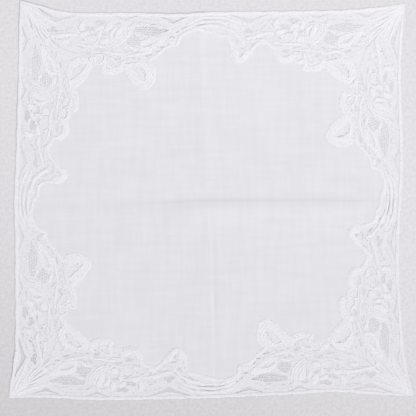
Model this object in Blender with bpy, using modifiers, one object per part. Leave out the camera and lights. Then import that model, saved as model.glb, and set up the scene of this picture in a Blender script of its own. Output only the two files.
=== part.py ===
# Lace handkerchief: a lawn centre framed by four lengths of floral lace, joined along the
# diagonal at each corner. It lies open, with its fold lines and its pulled-out corners.
# Each piece is first cut flat on a square, then laid out to the real, uneven outline.
import math

import bmesh
import bpy

MM = 0.001

# Driving dimensions in millimetres
SIDE = 300.0  # one side of the finished square, along the cloth
REPEAT = SIDE / 2  # one repeat of the lace pattern, two to a side
SHEET = 1.0  # thickness of lawn and lace ground
RELIEF = 0.4  # how far a worked flower or leaf stands above the lace ground
GAP = 0.3  # space between neighbouring pieces
CUT_ROOM = 5.0  # how far a cutter reaches past what it cuts
LACE_COVER = 6.0  # the lawn starts at least this far in from the outer edge

# Where each corner lies, seen from above
CORNERS = {
    "bottom_left": (-153.9, -150.9),
    "bottom_right": (153.9, -149.0),
    "top_right": (147.4, 149.0),
    "top_left": (-145.2, 152.0),
}

# The sides run anticlockwise, and each starts where the one before it ends
SIDES = {
    "bottom": ("bottom_left", "bottom_right"),
    "right": ("bottom_right", "top_right"),
    "top": ("top_right", "top_left"),
    "left": ("top_left", "bottom_left"),
}
NEXT_SIDE = {"bottom": "right", "right": "top", "top": "left", "left": "bottom"}

# How far each outer edge bows inwards: share of the side's length, dip
EDGE_DIPS = {
    "bottom": (
        (0.0, 0.0), (0.06, 0.8), (0.12, 0.4), (0.2, -1.1), (0.3, -1.2), (0.5, -0.3),
        (0.6, 0.9), (0.7, 2.0), (0.8, 3.8), (0.88, 2.2), (0.94, 0.8), (1.0, 0.0),
    ),
    "right": (
        (0.0, 0.0), (0.06, 4.3), (0.12, 7.2), (0.2, 8.6), (0.3, 9.6), (0.4, 9.0),
        (0.5, 6.8), (0.6, 4.9), (0.8, 5.0), (0.88, 4.1), (0.94, 2.3), (1.0, 0.0),
    ),
    "top": (
        (0.0, 0.0), (0.08, 3.0), (0.16, 5.1), (0.3, 6.4), (0.5, 7.6), (0.6, 9.4),
        (0.7, 8.8), (0.84, 9.3), (0.88, 8.6), (0.91, 7.2), (0.96, 3.0), (1.0, 0.0),
    ),
    "left": (
        (0.0, 0.0), (0.06, -0.6), (0.16, 0.0), (0.4, 0.0), (0.5, -0.5), (0.6, 1.2),
        (0.7, 2.1), (0.8, 3.2), (0.88, 3.5), (0.91, 2.6), (0.97, 0.4), (1.0, 0.0),
    ),
}

# How each length was eased on: shift of its first repeat, shift of its second, and how far
# the second leans along the side for each millimetre inwards
EASING = {
    "bottom": (-0.5, 0.0, 0.11),
    "right": (-0.5, 1.5, 0.2),
    "top": (1.5, 1.0, 0.2),
    "left": (1.0, -1.0, 0.125),
}

# The scalloped inner edge of one repeat: millimetres along, millimetres inwards
WAIST_TO_LEAF = (
    (0.0, 14.8), (5.0, 13.4), (10.0, 12.9), (15.0, 14.8), (20.0, 17.6), (23.6, 20.4),
    (28.0, 25.4), (32.0, 29.5), (35.6, 33.4), (34.6, 38.2), (33.2, 44.0), (33.6, 50.6),
)
LEAF_TO_PETALS = (
    (38.0, 56.5), (43.0, 55.6), (48.0, 53.2), (52.6, 50.0), (56.4, 45.2), (60.6, 45.6),
    (67.0, 47.2), (74.6, 45.0), (73.0, 41.0), (76.6, 39.4), (80.6, 38.8), (86.0, 39.0),
    (91.0, 39.3),
)
PETALS_TO_WAIST = (
    (95.7, 37.4), (98.2, 33.6), (97.6, 29.4), (103.3, 25.6), (108.0, 24.2), (112.4, 25.8),
    (116.0, 29.6), (118.7, 33.8), (121.8, 37.0), (125.4, 39.3), (129.0, 37.6),
    (131.6, 33.4), (131.6, 28.4), (133.4, 22.4), (136.6, 18.9), (142.6, 18.0), (146.6, 16.0),
)

# The cord bundle that a length starts along, from the corner's tip inwards
CORNER_JOIN = ((10.0, 10.5), (18.0, 20.0), (25.0, 29.0), (29.5, 37.0), (31.4, 45.0), (33.8, 52.6))
# A line inside the next length, which trims the end that it laps over
UNDER_NEXT = ((14.0, 8.0), (26.0, 18.0), (36.0, 30.0), (40.0, 42.0), (40.0, 50.0))

# Gaps of the cutwork in every repeat: shape, along, inwards, half length, half width, turn
CUTWORK = (
    ("gull", 28.0, 2.4, 10.0, 4.2, 0.0),
    ("gull", 66.0, 3.0, 7.0, 3.2, 0.0),
    ("gull", 120.0, 2.5, 14.0, 5.0, 0.0),
    ("bean", 86.2, 7.2, 4.2, 1.8, -4.0),
    ("bean", 91.8, 11.4, 3.8, 1.9, -16.0),
    ("bean", 120.6, 15.0, 4.6, 1.7, 8.0),
    ("bean", 64.0, 35.0, 3.2, 1.3, 32.0),
    ("bean", 80.2, 28.2, 2.9, 1.3, 6.0),
)
# One more gap beside the cord bundle at each corner, as a triangle's points
CORNER_GAP = ((30.4, 34.4), (38.8, 36.6), (35.0, 39.4), (32.2, 42.0))

# Patches of open net, cut as lozenges: along, inwards, half length, half width, turn
NETS = (
    (44.0, 13.8, 14.0, 3.6, 0.0),
    (54.0, 21.4, 7.4, 5.0, 12.0),
)
NET_PITCH = 4.6  # twice the pitch of the real net
NET_BAR = 1.1  # what is left standing between two lozenges

# Worked flowers and leaves, raised on every repeat. A leaf has a point at its far end:
# shape, along, inwards, half length, half width, turn
RAISED = (
    ("leaf", 45.2, 46.8, 10.8, 6.0, 128.0),
    ("leaf", 40.0, 23.4, 10.4, 4.0, 208.0),
    ("leaf", 66.0, 42.6, 7.4, 2.6, 12.0),
    ("bean", 66.4, 17.0, 8.6, 5.2, 58.0),
    ("bean", 84.6, 21.4, 8.2, 4.2, -4.0),
    ("bean", 78.2, 35.3, 2.9, 2.9, 0.0),
    ("bean", 90.8, 34.2, 5.4, 3.6, -6.0),
    ("leaf", 124.8, 32.0, 6.4, 4.4, 88.0),
)

# Fold lines on the flat square: place along the fold, the fold's position, and its strength
FOLD_ACROSS = (
    (0.0, 148.0, 0.2), (80.0, 151.0, 0.35), (112.0, 152.6, 0.6), (130.0, 153.4, 1.0),
    (160.0, 153.2, 1.1), (190.0, 152.6, 1.1), (220.0, 151.4, 1.0), (250.0, 150.6, 0.85),
    (280.0, 150.0, 0.5), (300.0, 149.8, 0.3),
)
FOLD_UP = (
    (0.0, 153.2, 0.4), (60.0, 154.6, 0.8), (130.0, 155.6, 0.7), (150.0, 151.5, 0.3),
    (166.0, 148.8, -0.5), (240.0, 143.6, -0.8), (300.0, 140.0, -0.4),
)
FOLD_HEIGHT = 1.0
FOLD_REACH = 4.6  # from a fold's line to the crest beside it

# Soft lifts of the cloth: along the bottom, up the side, reach, height
LIFTS = (
    (6.0, 292.0, 34.0, 1.4), (120.0, 296.0, 40.0, 0.8), (4.0, 214.0, 36.0, 0.9),
    (296.0, 66.0, 34.0, 0.8), (196.0, 4.0, 38.0, 0.7), (-6.0, 30.0, 40.0, 1.2),
)
LIFT_FADE = 3.0  # how fast a lift dies away within its reach
FLAT_BELOW = 0.06  # lower than this, the cloth lies flat on the surface

# Lines along which the sheet can bend, measured from the middle outwards
BEND_LINES = (0.0, 2.4, 4.6, 8.0, 14.0, 34.0, 58.0, 82.0, 102.0, 116.0, 128.0, 140.0)

LAWN_COLOUR = (0.83, 0.83, 0.86, 1.0)
LACE_COLOUR = (0.9, 0.9, 0.92, 1.0)


# Shapes on the flat square

def read_table(table, place, column=1):
    # Eases from row to row, so that a value read between two rows runs on smoothly
    rows = list(table)
    index = 0
    while index < len(rows) - 2 and place > rows[index + 1][0]:
        index += 1
    before, after = rows[index], rows[index + 1]
    span = after[0] - before[0]
    share = min(max((place - before[0]) / span, 0.0), 1.0)

    def slope(row):
        low = rows[max(row - 1, 0)]
        high = rows[min(row + 1, len(rows) - 1)]
        return (high[column] - low[column]) / (high[0] - low[0])

    square = share * share
    cube = square * share
    return (
        (2 * cube - 3 * square + 1) * before[column]
        + (cube - 2 * square + share) * span * slope(index)
        + (3 * square - 2 * cube) * after[column]
        + (cube - square) * span * slope(index + 1)
    )


def smooth_line(points, steps=2):
    # Runs a curve through the points, with the given number of steps between two of them
    line = []
    last = len(points) - 1
    for index in range(last):
        p0 = points[max(index - 1, 0)]
        p1 = points[index]
        p2 = points[index + 1]
        p3 = points[min(index + 2, last)]
        for step in range(steps):
            t = step / steps
            line.append(tuple(
                0.5 * (
                    2 * p1[k]
                    + (p2[k] - p0[k]) * t
                    + (2 * p0[k] - 5 * p1[k] + 4 * p2[k] - p3[k]) * t * t
                    + (3 * p1[k] - p0[k] - 3 * p2[k] + p3[k]) * t ** 3
                )
                for k in (0, 1)
            ))
    line.append(points[last])
    return line


def on_lace(side, repeat, along, inwards):
    # Moves a place in the pattern's repeat to its place on one length of lace
    first_shift, second_shift, lean = EASING[side]
    if repeat == 0:
        return along + first_shift, inwards
    return REPEAT + along + second_shift + lean * inwards, inwards


def on_square(side, place):
    # Turns a place on a length, along and inwards, to the flat square's own x and y
    along, inwards = place
    return {
        "bottom": (along, inwards),
        "right": (SIDE - inwards, along),
        "top": (SIDE - along, SIDE - inwards),
        "left": (inwards, SIDE - along),
    }[side]


def turned(points, along, inwards, turn):
    angle = math.radians(turn)
    c, s = math.cos(angle), math.sin(angle)
    return [(along + c * x - s * y, inwards + s * x + c * y) for x, y in points]


def gull_shape(half_length, depth):
    # A shallow spread gull: thin at both ends, its point towards the cloth's middle
    far = ((-1.0, 0.0), (-0.4, 0.3), (0.4, 0.3), (1.0, 0.0))
    near = ((0.55, 0.55), (0.16, 1.0), (-0.16, 1.0), (-0.55, 0.55))
    return [(half_length * x, depth * y) for x, y in far + near]


def bean_shape(half_length, half_width):
    sides = 9
    angles = [2 * math.pi * step / sides for step in range(sides)]
    return [(half_length * math.cos(angle), half_width * math.sin(angle)) for angle in angles]


def leaf_shape(half_length, half_width):
    # Full towards its base and drawn out to a point
    outline = ((-1.0, 0.0), (-0.82, 0.62), (-0.3, 1.0), (0.28, 0.84), (0.74, 0.38))
    upper = [(half_length * x, half_width * y) for x, y in outline]
    lower = [(x, -y) for x, y in reversed(upper[1:])]
    return upper + [(half_length, 0.0)] + lower


SHAPES = {"gull": gull_shape, "bean": bean_shape, "leaf": leaf_shape}


def pattern_loops(side, rows):
    # Every row of a table, in both repeats of one length
    loops = []
    for repeat in (0, 1):
        for shape, along, inwards, half_length, half_width, turn in rows:
            outline = turned(SHAPES[shape](half_length, half_width), along, inwards, turn)
            loops.append([on_lace(side, repeat, *point) for point in outline])
    return loops


def net_loops(side):
    # Lozenges on a staggered grid, kept where they fit inside a patch of net
    loops = []
    half = (NET_PITCH - NET_BAR) / 2
    lozenge = ((half, 0.0), (0.0, half), (-half, 0.0), (0.0, -half))
    for repeat in (0, 1):
        for along, inwards, half_length, half_width, turn in NETS:
            rows = int(half_width / NET_PITCH * 2) + 1
            columns = int(half_length / NET_PITCH) + 1
            for row in range(-rows, rows + 1):
                for column in range(-columns, columns + 1):
                    x = (column + 0.5 * (row % 2)) * NET_PITCH
                    y = row * NET_PITCH / 2
                    reach = math.hypot(x / half_length, y / half_width)
                    if reach > 1.0 - 0.5 * half / half_width:
                        continue
                    points = turned([(x + dx, y + dy) for dx, dy in lozenge], along, inwards, turn)
                    loops.append([on_lace(side, repeat, *point) for point in points])
    return loops


def lace_outline(side):
    # One length, from its corner's tip along the outer edge and back by the scallops
    under = [(SIDE - inwards, along) for along, inwards in UNDER_NEXT]
    first = [on_lace(side, 0, *point) for point in LEAF_TO_PETALS + PETALS_TO_WAIST]
    second = [on_lace(side, 1, *point) for point in WAIST_TO_LEAF + LEAF_TO_PETALS]
    scallops = smooth_line(first + second)
    join = smooth_line([(0.0, 0.0), *CORNER_JOIN, first[0]])
    return [(0.0, 0.0), (SIDE, 0.0), *under, *reversed(scallops), *reversed(join[1:-1])]


# Making solids from the flat shapes

def make_material(name, colour, roughness):
    material = bpy.data.materials.new(name)
    material.use_nodes = True
    shader = material.node_tree.nodes["Principled BSDF"]
    shader.inputs["Base Color"].default_value = colour
    shader.inputs["Roughness"].default_value = roughness
    shader.inputs["Metallic"].default_value = 0.0
    return material


def plate(name, loops, low, high, collection, grow=0.0):
    # A flat outline with holes, drawn as a 2D curve and made a mesh in millimetres
    curve = bpy.data.curves.new(name, "CURVE")
    curve.dimensions = "2D"
    curve.fill_mode = "BOTH"
    curve.extrude = (high - low) / 2
    curve.bevel_depth = grow
    curve.bevel_resolution = 0
    for loop in loops:
        spline = curve.splines.new("POLY")
        spline.points.add(len(loop) - 1)
        for point, (x, y) in zip(spline.points, loop):
            point.co = (x, y, 0.0, 1.0)
        spline.use_cyclic_u = True
    drawn = bpy.data.objects.new(name, curve)
    drawn.location.z = (high + low) / 2
    collection.objects.link(drawn)
    bpy.context.view_layer.update()
    made = made_mesh(drawn, name)
    place = drawn.matrix_world.copy()
    bpy.data.objects.remove(drawn)
    solid = bpy.data.objects.new(name, made)
    solid.matrix_world = place
    collection.objects.link(solid)
    return solid


def made_mesh(source, name):
    evaluated = source.evaluated_get(bpy.context.evaluated_depsgraph_get())
    mesh = bpy.data.meshes.new_from_object(evaluated)
    mesh.name = name
    work = bmesh.new()
    work.from_mesh(mesh)
    bmesh.ops.remove_doubles(work, verts=work.verts, dist=0.001)
    bmesh.ops.recalc_face_normals(work, faces=work.faces)
    work.to_mesh(mesh)
    work.free()
    return mesh


def sheet_of_cells(name, low_edge, high_edge, collection):
    # A thin sheet of cells whose lines run along the folds, so that it can bend there
    middle = SIDE / 2
    marks = sorted({middle - line for line in BEND_LINES} | {middle + line for line in BEND_LINES})
    marks = [low_edge, *(mark for mark in marks if low_edge < mark < high_edge), high_edge]
    cells = len(marks) - 1
    mesh = bpy.data.meshes.new(name)
    work = bmesh.new()
    bmesh.ops.create_grid(work, x_segments=cells, y_segments=cells, size=cells / 2)
    for vert in work.verts:
        x = marks[round(vert.co.x + cells / 2)]
        y = marks[round(vert.co.y + cells / 2)]
        near_x = 1 - min(abs(x - middle) / middle, 1.0)
        near_y = 1 - min(abs(y - middle) / middle, 1.0)
        vert.co.x = x + near_x * (read_table(FOLD_UP, y) - middle)
        vert.co.y = y + near_y * (read_table(FOLD_ACROSS, x) - middle)
    work.to_mesh(mesh)
    work.free()
    sheet = bpy.data.objects.new(name, mesh)
    collection.objects.link(sheet)
    solidify = sheet.modifiers.new("thickness", "SOLIDIFY")
    solidify.thickness = SHEET
    solidify.offset = 1.0
    return sheet


def cut(target, operation, tool):
    boolean = target.modifiers.new(tool.name, "BOOLEAN")
    boolean.operation = operation
    boolean.solver = "EXACT"
    boolean.object = tool
    tool.hide_render = True
    tool.display_type = "WIRE"


# Laying the flat shapes out

def edge_place(side, share):
    # A place on the real outer edge, which bows in from the line between two corners
    start, end = (CORNERS[corner] for corner in SIDES[side])
    run = (end[0] - start[0], end[1] - start[1])
    length = math.hypot(*run)
    dip = read_table(EDGE_DIPS[side], share)
    return (
        start[0] + run[0] * share - run[1] / length * dip,
        start[1] + run[1] * share + run[0] / length * dip,
    )


def laid_place(x, y):
    # Stretches the flat square between its four real edges
    u, w = x / SIDE, y / SIDE
    bottom, top = edge_place("bottom", u), edge_place("top", 1 - u)
    left, right = edge_place("left", 1 - w), edge_place("right", w)
    place = []
    for axis in (0, 1):
        corners = (
            (1 - u) * (1 - w) * CORNERS["bottom_left"][axis]
            + u * (1 - w) * CORNERS["bottom_right"][axis]
            + u * w * CORNERS["top_right"][axis]
            + (1 - u) * w * CORNERS["top_left"][axis]
        )
        between = (1 - w) * bottom[axis] + w * top[axis] + (1 - u) * left[axis] + u * right[axis]
        place.append(between - corners)
    return place


def fold_lift(distance, strength):
    # A fold that sinks has a soft crest on each side, and one that rises is a crest itself
    reach = (distance / FOLD_REACH) ** 2
    if strength >= 0:
        return strength * FOLD_HEIGHT * reach * math.exp(1 - reach)
    return -strength * FOLD_HEIGHT * math.exp(-reach)


def cloth_height(x, y):
    across = fold_lift(y - read_table(FOLD_ACROSS, x), read_table(FOLD_ACROSS, x, 2))
    up = fold_lift(x - read_table(FOLD_UP, y), read_table(FOLD_UP, y, 2))
    height = max(across, up)
    for lift_x, lift_y, reach, top in LIFTS:
        away = ((x - lift_x) ** 2 + (y - lift_y) ** 2) / reach ** 2
        height += top * math.exp(-LIFT_FADE * away)
    return max(height - FLAT_BELOW, 0.0)


def lay_out(flat, material):
    # Fixes the cuts, then moves every point from the flat square to where the cloth lies
    mesh = made_mesh(flat, flat.name)
    flat.modifiers.clear()
    flat.data = mesh
    for vert in mesh.vertices:
        x, y, z = vert.co
        laid_x, laid_y = laid_place(x, y)
        vert.co = (laid_x * MM, laid_y * MM, (z + cloth_height(x, y)) * MM)
    mesh.materials.clear()
    mesh.materials.append(material)


# The pieces

def make_lace(side, cloth, cutters, next_outline, material):
    lace = sheet_of_cells("lace_" + side, -CUT_ROOM, SIDE + CUT_ROOM, cloth)
    holes = pattern_loops(side, CUTWORK) + net_loops(side) + [list(CORNER_GAP)]
    flat_loops = [[on_square(side, point) for point in loop] for loop in [lace_outline(side)] + holes]
    cut(lace, "INTERSECT", plate(side + "_pattern", flat_loops, -CUT_ROOM, CUT_ROOM, cutters))
    raised = [[on_square(side, point) for point in loop] for loop in pattern_loops(side, RAISED)]
    cut(lace, "UNION", plate(side + "_raised", raised, SHEET / 2, SHEET + RELIEF, cutters))
    cut(lace, "DIFFERENCE", next_outline)
    lay_out(lace, material)


def make_centre(cloth, outlines, material):
    centre = sheet_of_cells("centre_cloth", LACE_COVER, SIDE - LACE_COVER, cloth)
    for outline in outlines:
        cut(centre, "DIFFERENCE", outline)
    lay_out(centre, material)


def main():
    for old in list(bpy.data.objects):
        bpy.data.objects.remove(old)
    cloth = bpy.data.collections.new("lace_handkerchief")
    cutters = bpy.data.collections.new("cutters")
    for collection in (cloth, cutters):
        bpy.context.scene.collection.children.link(collection)
    lawn = make_material("lawn", LAWN_COLOUR, 0.85)
    lace = make_material("lace", LACE_COLOUR, 0.9)
    outlines = {}
    for side in SIDES:
        loop = [on_square(side, point) for point in lace_outline(side)]
        outlines[side] = plate(side + "_outline", [loop], -2 * CUT_ROOM, 2 * CUT_ROOM, cutters, GAP)
    for side in SIDES:
        make_lace(side, cloth, cutters, outlines[NEXT_SIDE[side]], lace)
    make_centre(cloth, outlines.values(), lawn)


main()
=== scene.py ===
import math
import random

import bmesh
import bpy
import numpy as np
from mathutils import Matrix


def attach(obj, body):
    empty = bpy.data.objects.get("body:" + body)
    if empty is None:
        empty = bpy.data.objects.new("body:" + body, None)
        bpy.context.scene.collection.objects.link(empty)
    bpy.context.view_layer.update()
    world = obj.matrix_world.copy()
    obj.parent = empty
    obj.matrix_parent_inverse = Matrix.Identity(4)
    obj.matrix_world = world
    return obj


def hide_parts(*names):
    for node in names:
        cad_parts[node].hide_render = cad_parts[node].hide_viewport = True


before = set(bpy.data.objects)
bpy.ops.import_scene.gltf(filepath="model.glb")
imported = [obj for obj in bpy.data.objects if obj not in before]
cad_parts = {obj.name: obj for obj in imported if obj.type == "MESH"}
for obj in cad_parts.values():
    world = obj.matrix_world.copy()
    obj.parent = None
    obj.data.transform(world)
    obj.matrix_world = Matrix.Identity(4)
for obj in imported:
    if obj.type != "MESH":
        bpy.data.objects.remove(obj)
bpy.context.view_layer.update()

mm = 0.001
chance = random.Random(12)

# The cloth's lie, in the same sizes as the solids

cloth = {
    "side": 300.0,  # one side of the finished square
    "repeat": 150.0,  # one repeat of the lace, two to a side
    "foldHeight": 0.55,
    "foldReach": 4.6,  # from a fold's line to the crest beside it
    "creaseDepth": 0.14,  # the sharp line in the middle of a fold
    "creaseReach": 1.3,
    "edgeCurl": 0.1,  # how far the outer edge stands up
    "edgeReach": 2.4,
    "drift": 0.22,  # how far the hand work strays from its chart
}

corners = {
    "bottomLeft": (-153.9, -150.9),
    "bottomRight": (153.9, -149.0),
    "topRight": (147.4, 149.0),
    "topLeft": (-145.2, 152.0),
}

# The sides run anticlockwise, and each length laps over the end of the one before it
sideEnds = {
    "bottom": ("bottomLeft", "bottomRight"),
    "right": ("bottomRight", "topRight"),
    "top": ("topRight", "topLeft"),
    "left": ("topLeft", "bottomLeft"),
}

# How far each outer edge bows inwards: share of the side's length, dip
edgeDips = {
    "bottom": (
        (0.0, 0.0), (0.06, 0.8), (0.12, 0.4), (0.2, -1.1), (0.3, -1.2), (0.5, -0.3),
        (0.6, 0.9), (0.7, 2.0), (0.8, 3.8), (0.88, 2.2), (0.94, 0.8), (1.0, 0.0),
    ),
    "right": (
        (0.0, 0.0), (0.06, 4.3), (0.12, 7.2), (0.2, 8.6), (0.3, 9.6), (0.4, 9.0),
        (0.5, 6.8), (0.6, 4.9), (0.8, 5.0), (0.88, 4.1), (0.94, 2.3), (1.0, 0.0),
    ),
    "top": (
        (0.0, 0.0), (0.08, 3.0), (0.16, 5.1), (0.3, 6.4), (0.5, 7.6), (0.6, 9.4),
        (0.7, 8.8), (0.84, 9.3), (0.88, 8.6), (0.91, 7.2), (0.96, 3.0), (1.0, 0.0),
    ),
    "left": (
        (0.0, 0.0), (0.06, -0.6), (0.16, 0.0), (0.4, 0.0), (0.5, -0.5), (0.6, 1.2),
        (0.7, 2.1), (0.8, 3.2), (0.88, 3.5), (0.91, 2.6), (0.97, 0.4), (1.0, 0.0),
    ),
}

# How each length was eased on: shift of its first repeat, of its second, and the second's lean
easing = {
    "bottom": (-0.5, 0.0, 0.11),
    "right": (-0.5, 1.5, 0.2),
    "top": (1.5, 1.0, 0.2),
    "left": (1.0, -1.0, 0.125),
}

# Fold lines: place along the fold, the fold's position, its strength; below nought it rises
foldAcross = (
    (0.0, 148.0, 0.15), (80.0, 151.0, 0.25), (112.0, 152.6, 0.4), (130.0, 153.4, 0.84),
    (160.0, 152.9, 1.08), (190.0, 152.2, 1.07), (220.0, 151.3, 1.1), (250.0, 150.6, 0.95),
    (280.0, 150.0, 0.5), (300.0, 149.8, 0.2),
)
foldUp = (
    (0.0, 153.9, 0.4), (60.0, 155.1, 0.65), (105.0, 154.9, 0.55), (130.0, 153.7, 0.4),
    (150.0, 151.5, 0.15), (166.0, 148.8, -0.4), (240.0, 143.6, -0.7), (300.0, 140.0, -0.4),
)
# The fold across, cut square to its line: place above the line, height. It rises slowly to a
# low crest below the line, drops sharply there and runs out above it
foldShape = (
    (-44.0, 0.0), (-24.0, 0.36), (-9.0, 1.06), (-6.4, 1.16), (-4.8, 1.12), (-3.4, 1.0),
    (-1.2, 0.78), (-0.4, 0.64), (0.5, 0.38), (1.1, 0.25), (2.8, 0.08), (4.6, 0.02), (6.4, 0.0),
    (14.0, 0.2), (60.0, 0.0),
)
# The fold up where it goes in: place to the right of its line, height
troughShape = (
    (-38.0, 0.0), (-12.0, 0.36), (-5.0, 0.46), (-2.6, 0.44), (-0.4, 0.05), (0.4, 0.03),
    (3.4, 0.5), (6.0, 0.54), (14.0, 0.44), (44.0, 0.0),
)

# Soft lifts of the edge: along the bottom, up the side, reach, height
lifts = (
    (6.0, 292.0, 34.0, 0.5), (120.0, 296.0, 40.0, 0.3), (4.0, 214.0, 36.0, 0.25),
    (296.0, 66.0, 34.0, 0.1), (196.0, 4.0, 38.0, 0.1), (-6.0, 30.0, 40.0, 0.45),
)


def readTable(rows, places, column=1):
    # eases from row to row, so that a value read between two rows runs on smoothly
    table = np.array(rows)
    x, y = table[:, 0], table[:, column]
    last = len(x) - 1
    before = np.maximum(np.arange(last + 1) - 1, 0)
    after = np.minimum(np.arange(last + 1) + 1, last)
    slopes = (y[after] - y[before]) / (x[after] - x[before])
    row = np.clip(np.searchsorted(x, places, side="right") - 1, 0, last - 1)
    span = x[row + 1] - x[row]
    t = np.clip((places - x[row]) / span, 0, 1)
    return (
        (2 * t**3 - 3 * t**2 + 1) * y[row]
        + (t**3 - 2 * t**2 + t) * span * slopes[row]
        + (3 * t**2 - 2 * t**3) * y[row + 1]
        + (t**3 - t**2) * span * slopes[row + 1]
    )


def edgePlaces(side, share):
    start, end = (np.array(corners[corner]) for corner in sideEnds[side])
    run = end - start
    inwards = np.array((-run[1], run[0])) / math.hypot(*run)
    return start + share[:, None] * run + readTable(edgeDips[side], share)[:, None] * inwards


def foldLift(distance, strength):
    # a narrow trough between two long low rises, or a low ridge with a sharp line along it
    reach = (distance / cloth["foldReach"]) ** 2
    line = np.exp(-np.abs(distance) / cloth["creaseReach"]) * np.exp(-reach / 4)
    ridge = cloth["foldHeight"] * np.exp(-reach) + cloth["creaseDepth"] * line
    return np.where(strength >= 0, strength * readTable(troughShape, distance), -strength * ridge)


def clothHeights(flat):
    x, y = flat[:, 0], flat[:, 1]
    across = readTable(foldAcross, x, 2) * readTable(foldShape, y - readTable(foldAcross, x))
    up = foldLift(x - readTable(foldUp, y), readTable(foldUp, y, 2))
    height = across + up
    for liftX, liftY, reach, top in lifts:
        height += top * np.exp(-3 * ((x - liftX) ** 2 + (y - liftY) ** 2) / reach**2)
    return height


def edgeLift(flat):
    # the outer edge curls up a little from the surface
    fromEdge = np.minimum(flat.min(axis=1), cloth["side"] - flat.max(axis=1))
    return cloth["edgeCurl"] * np.exp(-((fromEdge / cloth["edgeReach"]) ** 2))


def handDrift(flat):
    # small slow waves both ways, so that no line of the work runs quite true
    x, y = flat[:, 0], flat[:, 1]
    sideways = np.sin(0.81 * x + 0.37 * y) + 0.6 * np.sin(1.42 * y - 0.63 * x)
    upwards = np.sin(0.76 * y - 0.42 * x + 1.1) + 0.6 * np.sin(1.33 * x + 0.71 * y)
    return cloth["drift"] * np.column_stack((sideways, upwards))


def layOut(flat, lift=0.0):
    # moves points of the flat square, in millimetres, to where the cloth lies, in metres
    flat = np.asarray(flat, float)
    flat = flat + handDrift(flat)
    u, w = flat[:, 0] / cloth["side"], flat[:, 1] / cloth["side"]
    near = {name: np.array(place) for name, place in corners.items()}
    u2, w2 = u[:, None], w[:, None]
    between = (1 - w2) * edgePlaces("bottom", u) + w2 * edgePlaces("top", 1 - u)
    between += (1 - u2) * edgePlaces("left", 1 - w) + u2 * edgePlaces("right", w)
    between -= (1 - u2) * (1 - w2) * near["bottomLeft"] + u2 * (1 - w2) * near["bottomRight"]
    between -= u2 * w2 * near["topRight"] + (1 - u2) * w2 * near["topLeft"]
    return np.column_stack((between, clothHeights(flat) + edgeLift(flat) + lift)) * mm


def smoothLine(points, step=0.8, closed=False):
    # a curve through the points, with a new point about every step
    points = np.asarray(points, float)
    count = len(points)
    line = []
    for index in range(count if closed else count - 1):
        if closed:
            p0, p1, p2, p3 = (points[(index + k) % count] for k in (-1, 0, 1, 2))
        else:
            p0, p1 = points[max(index - 1, 0)], points[index]
            p2, p3 = points[index + 1], points[min(index + 2, count - 1)]
        steps = max(int(round(np.linalg.norm(p2 - p1) / step)), 1)
        for t in np.arange(steps) / steps:
            bend = 2 * p0 - 5 * p1 + 4 * p2 - p3
            twist = 3 * p1 - p0 - 3 * p2 + p3
            line.append(0.5 * (2 * p1 + (p2 - p0) * t + bend * t**2 + twist * t**3))
    if not closed:
        line.append(points[-1])
    return np.array(line)


# The chart of the lace: along the edge and inwards from it, in millimetres, for one repeat

# Inner edge, from the narrow waist to the big leaf, on to the petals, and back to the waist
waistToLeaf = (
    (0.0, 14.8), (5.0, 13.4), (10.0, 12.9), (15.0, 14.8), (19.0, 17.2), (20.0, 20.4),
    (20.6, 23.6), (24.4, 24.6), (28.0, 25.8), (32.0, 29.8), (36.0, 34.0), (39.2, 37.0),
    (38.8, 38.8), (35.6, 40.8), (33.4, 44.4), (32.8, 48.6), (33.2, 53.0), (35.2, 56.6),
)
leafToPetals = (
    (38.6, 58.6), (42.0, 57.0), (46.6, 54.2), (51.2, 50.6), (55.2, 46.4), (58.0, 43.6),
    (61.6, 45.4), (67.0, 46.8), (75.0, 45.2), (73.4, 42.2), (74.0, 39.6), (77.0, 39.9),
    (80.8, 39.6), (83.0, 37.8), (86.0, 39.2), (91.0, 39.5),
)
petalsToWaist = (
    (95.7, 37.4), (98.2, 33.6), (97.6, 29.4), (103.3, 25.6), (108.0, 24.2), (112.4, 25.8),
    (116.0, 29.6), (118.7, 33.8), (121.8, 37.0), (125.4, 39.3), (129.0, 37.6),
    (131.6, 33.4), (131.6, 28.4), (133.4, 22.4), (136.6, 18.9), (142.6, 18.0), (146.6, 16.0),
)
cornerJoin = (
    (0.0, 0.0), (10.0, 10.5), (18.0, 20.0), (25.0, 29.0), (29.5, 37.0), (31.4, 45.0),
    (33.8, 52.6), (38.0, 56.5),
)

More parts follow.
